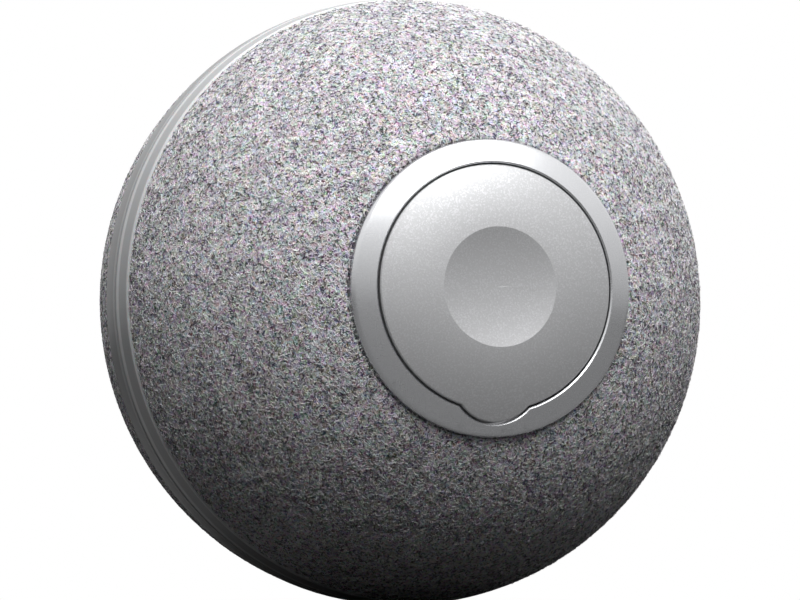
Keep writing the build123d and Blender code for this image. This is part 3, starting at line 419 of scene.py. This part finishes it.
def paintMoulded(colour, roughness, grainSize=0.15, depth=0.008, gloss=0.0):
    # Spark textured plastic with rubbed high spots
    def paint(web):
        grain = web.clouds(grainSize, 3, 0.6)
        wearAndPaintedHighlight = web.span(web.clouds(2.2, 5, 0.65), 0.5, 0.75)
        pale = tuple(min(1, value * 1.25 + 0.015) for value in colour)
        return {
            "Base Color": web.blend(wearAndPaintedHighlight * 0.5 + grain * 0.25, colour, pale),
            "Roughness": roughness - wearAndPaintedHighlight * 0.1 + grain * 0.08,
            "Coat Weight": gloss,
            "Coat Roughness": 0.2,
            "Normal": web.bump(grain, depth, 0.6),
        }

    return paint


def paintMetal(colour, roughness, drawn=(1, 12, 1), tarnish=0.3):
    # Drawn or rolled metal: fine lines along the work and a faint tarnish
    def paint(web):
        lines = web.clouds(0.12, 2, 0.7, drawn)
        stain = web.span(web.clouds(1.8, 5, 0.65), 0.45, 0.8)
        return {
            "Base Color": web.blend(stain * tarnish, colour, shaded(colour, 0.62)),
            "Metallic": 1.0,
            "Roughness": roughness + lines * 0.1 + stain * 0.14,
            "Normal": web.bump(lines, 0.003, 0.5),
        }

    return paint


def paintBoard(web):
    weave = web.cells(0.45, "Distance", (1, 1, 1), (0, 0, 45))
    tracks = web.span(web.cells(1.3, "Color", (1, 0.35, 1)), 0.52, 0.54)
    mask = web.blend(tracks * 0.6, (0.012, 0.11, 0.045), (0.03, 0.2, 0.085))
    return {
        "Base Color": mask,
        "Roughness": 0.32 + weave * 0.15,
        "Coat Weight": 0.3,
        "Coat Roughness": 0.15,
        "Normal": web.bump(tracks + weave * 0.3, 0.012, 0.5),
    }


def paintFoil(web):
    creases = web.cells(1.1, "Distance", (1, 2.2, 1))
    grain = web.clouds(0.2, 3, 0.7)
    return {
        "Base Color": web.blend(grain * 0.3, (0.62, 0.64, 0.67), (0.5, 0.52, 0.55)),
        "Metallic": 0.85,
        "Roughness": 0.3 + grain * 0.12,
        "Normal": web.bump(creases + grain * 0.2, 0.03, 0.4),
    }


def paintSleeve(colour):
    # Insulation with extrusion lines along the lead
    def paint(web):
        grain = web.clouds(0.15, 3, 0.6, (1, 0.3, 1))
        return {
            "Base Color": web.blend(grain * 0.4, colour, shaded(colour, 0.6)),
            "Roughness": 0.4 + grain * 0.2,
            "Normal": web.bump(grain, 0.006, 0.5),
        }

    return paint


def paintLens(web):
    ripple = web.clouds(0.4, 2, 0.5)
    return {
        "Base Color": web.blend(ripple, (0.9, 0.93, 0.96), (0.97, 0.98, 1.0)),
        "Roughness": 0.06 + ripple * 0.06,
        "Transmission Weight": 0.85,
        "IOR": 1.49,
        "Normal": web.bump(ripple, 0.004, 0.4),
    }


finishes = {
    "shell_plastic": finish("satinGreyShell", paintBand),
    "ring_silver": finish("platedRing", paintPlated),
    "lid_silver": finish("flakeLacquer", paintLacquer),
    "bush_white": finish("naturalAcetal", paintMoulded((0.78, 0.78, 0.74), 0.38)),
    "gear_white": finish("gearAcetal", paintMoulded((0.74, 0.74, 0.7), 0.34, 0.1, 0.004)),
    "housing_black": finish("sparkBlack", paintMoulded((0.022, 0.022, 0.024), 0.55)),
    "face_black": finish("faceBlack", paintMoulded((0.018, 0.018, 0.02), 0.48, 0.11, 0.01, 0.08)),
    "button_grey": finish("buttonGrey", paintMoulded((0.32, 0.325, 0.335), 0.42, 0.1, 0.005, 0.1)),
    "motor_end_plastic": finish("mouldedNylon", paintMoulded((0.7, 0.69, 0.64), 0.5)),
    "component_black": finish("packageBlack", paintMoulded((0.028, 0.028, 0.03), 0.5, 0.06)),
    "led_white": finish("lampPackage", paintMoulded((0.82, 0.82, 0.7), 0.35, 0.08, 0.004, 0.2)),
    "bronze": finish("sinteredBronze", paintMetal((0.52, 0.31, 0.13), 0.38, (1, 1, 1), 0.6)),
    "steel": finish("zincSteel", paintMetal((0.56, 0.56, 0.55), 0.24)),
    "motor_steel": finish("nickelCan", paintMetal((0.62, 0.61, 0.58), 0.2, (1, 9, 1), 0.2)),
    "cell_wrap": finish("laminatedFoil", paintFoil),
    "board_green": finish("solderMask", paintBoard),
    "lens_clear": finish("clearLens", paintLens),
    "lead_red": finish("redSleeve", paintSleeve((0.42, 0.012, 0.01))),
    "lead_black": finish("blackSleeve", paintSleeve((0.02, 0.02, 0.022))),
}

for row in frame["record"]["subparts"]:
    if row["material_slot"] in finishes:
        node = nodes[row["node"]]
        if not node.material_slots:
            node.data.materials.append(None)
        for place in node.material_slots:
            place.link = "OBJECT"
            place.material = finishes[row["material_slot"]]
print("moulded, plated and metal finishes are on", len(finishes), "slots")


# Felt covers: a pressed dome each, with loose wool fibres lying over it

felt = {
    "inset": 2.6,  # each dome is an arc about a ring of centres of this radius
    "arc": 18.8,
    "seatArc": 17.23,
    "hole": 10.46,
    "edgeHeight": 2.23,
    "edgeRound": 0.22,
    "flat": 0.0583,  # metres across, before it is pressed
    "area": 0.0020,
    "steps": 320,
    "sectionSteps": {"hole": 7, "dome": 60, "rim": 8, "seat": 28},
    "merge": 0.0005,
    "unevenness": 0.05,
    "unevenScale": 0.55,
    "rearShift": 7,  # sets the rear cover's unevenness apart from the front one's
    "grey": (0.77, 0.745, 0.785),
    "pale": (0.94, 0.915, 0.955),
    "dark": (0.09, 0.083, 0.103),
}
fibre = {
    "count": 32000,
    "length": (0.14, 0.6),
    "width": (0.05, 0.095),
    "flat": 0.75,  # height of a strand against its width
    "lift": (-0.01, 0.07),
    "arch": 0.05,
    "loose": 0.06,  # share of fibres with one end standing off
    "looseLift": (0.03, 0.12),
    "curl": 0.5,
    "rungs": 500,  # heights in which they are spread evenly over the area
    "past": 0.005,
    "rearNap": 0.3,  # the rear felt is worn flatter
    "seed": {-1: 40, 1: 50},  # of the front and the rear cover
}
wools = {
    "pale": (0.96, 0.93, 0.975),
    "grey": (0.91, 0.88, 0.925),
    "dark": (0.09, 0.083, 0.103),
}


def feltSection():
    # Closed section, as radius from the axis and height over the parting plane
    outer, inner, curve, inset = felt["arc"], felt["seatArc"], felt["edgeRound"], felt["inset"]
    steps = felt["sectionSteps"]
    topReach, rimHeight = felt["hole"] + curve - inset, felt["edgeHeight"] + curve
    topHeight = math.sqrt((outer - curve) ** 2 - topReach**2)
    rimReach = math.sqrt((outer - curve) ** 2 - rimHeight**2)
    topAngle, rimAngle = math.atan2(topHeight, topReach), math.atan2(rimHeight, rimReach)
    points = []
    for angle in np.linspace(math.pi, topAngle, steps["hole"]):
        points.append((topReach + curve * math.cos(angle), topHeight + curve * math.sin(angle)))
    for angle in np.linspace(topAngle, rimAngle, steps["dome"])[1:-1]:
        points.append((outer * math.cos(angle), outer * math.sin(angle)))
    for angle in np.linspace(rimAngle, -math.pi / 2, steps["rim"]):
        points.append((rimReach + curve * math.cos(angle), rimHeight + curve * math.sin(angle)))
    rimSeat = math.asin(felt["edgeHeight"] / inner)
    topSeat = math.acos((felt["hole"] - inset) / inner)
    for angle in np.linspace(rimSeat, topSeat, steps["seat"]):
        points.append((inner * math.cos(angle), inner * math.sin(angle)))
    return [(reach + inset, height) for reach, height in points]


def makeFelt(name, side):
    form = bmesh.new()
    corners = [form.verts.new((reach, side * height, 0)) for reach, height in feltSection()]
    loop = [form.edges.new(pair) for pair in zip(corners, corners[1:] + corners[:1])]
    bmesh.ops.spin(
        form, geom=corners + loop, cent=(0, 0, 0), axis=(0, 1, 0), dvec=(0, 0, 0),
        angle=math.tau, steps=felt["steps"], use_merge=True, use_duplicate=False,
    )
    bmesh.ops.remove_doubles(form, verts=form.verts, dist=felt["merge"])
    bmesh.ops.recalc_face_normals(form, faces=form.faces)
    for corner in form.verts:
        middle = Vector((corner.co.x, 0, corner.co.z)).normalized() * felt["inset"]
        away = corner.co - middle
        if away.length > (felt["arc"] + felt["seatArc"]) / 2:
            place = corner.co * felt["unevenScale"] + Vector((side * felt["rearShift"], 0, 0))
            rise = noise.fractal(place, 1.0, 2.0, 3)
            corner.co += away.normalized() * rise * felt["unevenness"]
    bmesh.ops.scale(form, vec=(millimetre,) * 3, verts=form.verts)
    for face in form.faces:
        face.smooth = True
    mesh = bpy.data.meshes.new(name)
    form.to_mesh(mesh)
    form.free()
    piece = bpy.data.objects.new(name, mesh)
    bpy.context.scene.collection.objects.link(piece)
    return piece


def makeFibres(name, side, seed):
    # Short bent wool fibres, each a closed spindle of a ring and two tips
    dice = np.random.default_rng(seed)
    count, outer, inset = fibre["count"], felt["arc"], felt["inset"]
    rimTurn = math.asin(felt["edgeHeight"] / outer)
    topTurn = math.acos((felt["hole"] - inset) / outer)
    rungs = np.linspace(rimTurn - fibre["past"], topTurn + fibre["past"], fibre["rungs"])
    covered = np.cumsum(inset + outer * np.cos(rungs))
    turn = np.interp(dice.uniform(covered[0], covered[-1], count), covered, rungs)
    around = dice.uniform(0, math.tau, count)
    outward = np.stack((np.cos(around), np.zeros(count), np.sin(around)), 1)
    normal = outward * np.cos(turn)[:, None] + np.array((0, side, 0)) * np.sin(turn)[:, None]
    east = np.stack((-np.sin(around), np.zeros(count), np.cos(around)), 1)
    north = np.cross(normal, east)
    heading = dice.uniform(0, math.tau, count)[:, None]
    along = east * np.cos(heading) + north * np.sin(heading)
    across = np.cross(normal, along)
    length = dice.uniform(*fibre["length"], count)
    curl = dice.normal(0, fibre["curl"], count)
    nap = fibre["rearNap"] if side > 0 else 1
    lift = dice.uniform(*fibre["lift"], count) * nap
    arch = dice.uniform(0, fibre["arch"], count) * nap
    loose = (dice.random(count) < fibre["loose"]) * dice.uniform(*fibre["looseLift"], count) * nap
    width = dice.uniform(*fibre["width"], count) / 2
    line = []
    for share, bow, stand in ((-0.5, 0, 0), (0, 1, 0.3), (0.5, 0, 1)):
        run = (share * length)[:, None]
        bend = (curl * length * share**2 * 2)[:, None]
        spot = outward * inset + normal * outer + along * run + across * bend
        reach = np.hypot(spot[:, 0], spot[:, 2])
        slope = np.arctan2(side * spot[:, 1], reach - inset)
        edge = np.minimum(topTurn - slope, slope - rimTurn) * outer
        inside = np.clip(felt["edgeRound"] - edge, 0, felt["edgeRound"])
        drop = felt["edgeRound"] - np.sqrt(felt["edgeRound"] ** 2 - inside**2)
        away = outer + lift + arch * bow + loose * stand - drop
        wide = (inset + away * np.cos(slope)) / reach
        axial = side * away * np.sin(slope)
        line.append(np.stack((spot[:, 0] * wide, axial, spot[:, 2] * wide), 1))
    corners = np.empty((count, 5, 3))
    corners[:, 0], corners[:, 4] = line[0], line[2]
    for step, (wide, high) in enumerate(((1, 0), (0, fibre["flat"]), (-1, 0))):
        corners[:, 1 + step] = line[1] + (across * wide + normal * high) * width[:, None]
    faces = ((0, 2, 1), (0, 3, 2), (0, 1, 3), (1, 2, 4), (2, 3, 4), (3, 1, 4))
    base = (np.arange(count) * 5)[:, None]
    everyFace = [tuple(row) for face in faces for row in (base + np.array(face)).tolist()]
    mesh = bpy.data.meshes.new(name)
    mesh.from_pydata((corners.reshape(-1, 3) * millimetre).tolist(), [], everyFace)
    piece = bpy.data.objects.new(name, mesh)
    bpy.context.scene.collection.objects.link(piece)
    return piece


def mottled(web, tone):
    # Every small cell gets a faint tint of its own, and soft clouds a darker shade
    tint = web.cells(0.2, "Color")
    shade = web.span(web.clouds(0.85, 2, 0.55), 0.36, 0.64, 0.74, 1)
    return web.vector("SCALE", web.blend(0.5, tone, tint, "OVERLAY"), shade)


def paintFelt(web):
    # Matted wool: pale and dark strands in three directions over grey
    strands = []
    for turn in ((0, 0, 0), (60, 20, 0), (0, 50, 70)):
        strands.append(web.clouds(0.15, 2, 0.6, (1, 3, 1), turn))
    pale = strands[0].sum("MAXIMUM", strands[1])
    dark = strands[1].sum("MINIMUM", strands[2])
    blotch = web.clouds(0.7, 3, 0.6)
    tone = web.blend(web.span(pale + (blotch - 0.5) * 0.3, 0.52, 0.68), felt["grey"], felt["pale"])
    tone = web.blend(web.span(dark - (blotch - 0.5) * 0.3, 0.44, 0.33), tone, felt["dark"])
    return {
        "Base Color": mottled(web, tone),
        "Roughness": 0.92,
        "Specular IOR Level": 0.2,
        "Sheen Weight": 0.25,
        "Sheen Roughness": 0.5,
        "Normal": web.bump(pale + strands[2] * 0.5, 0.12, 0.7),
    }


def paintWool(colour):
    def paint(web):
        strand = web.clouds(0.5, 2, 0.6)
        tone = web.blend(strand, shaded(colour, 0.72), shaded(colour, 1.28))
        return {
            "Base Color": mottled(web, tone),
            "Roughness": 0.75 + strand * 0.15,
            "Specular IOR Level": 0.3,
            "Sheen Weight": 0.3,
            "Normal": web.bump(strand, 0.01, 0.3),
        }

    return paint


feltFinish = finish("mattedFelt", paintFelt)
woolFinishes = {}
for tone, colour in wools.items():
    woolFinishes[tone] = finish("wool" + tone.title(), paintWool(colour))
for half, side in (("front", -1), ("rear", 1)):
    cover = makeFelt(half + "FeltDome", side)
    cover.data.materials.append(feltFinish)
    for index, tone in enumerate(wools):
        strands = makeFibres(half + tone.title() + "Wool", side, fibre["seed"][side] + index)
        strands.data.materials.append(woolFinishes[tone])
        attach(strands, "shell")
    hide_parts(half + "_felt_cover")
    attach(cover, "shell")
print("felt covers and their fibres are laid")
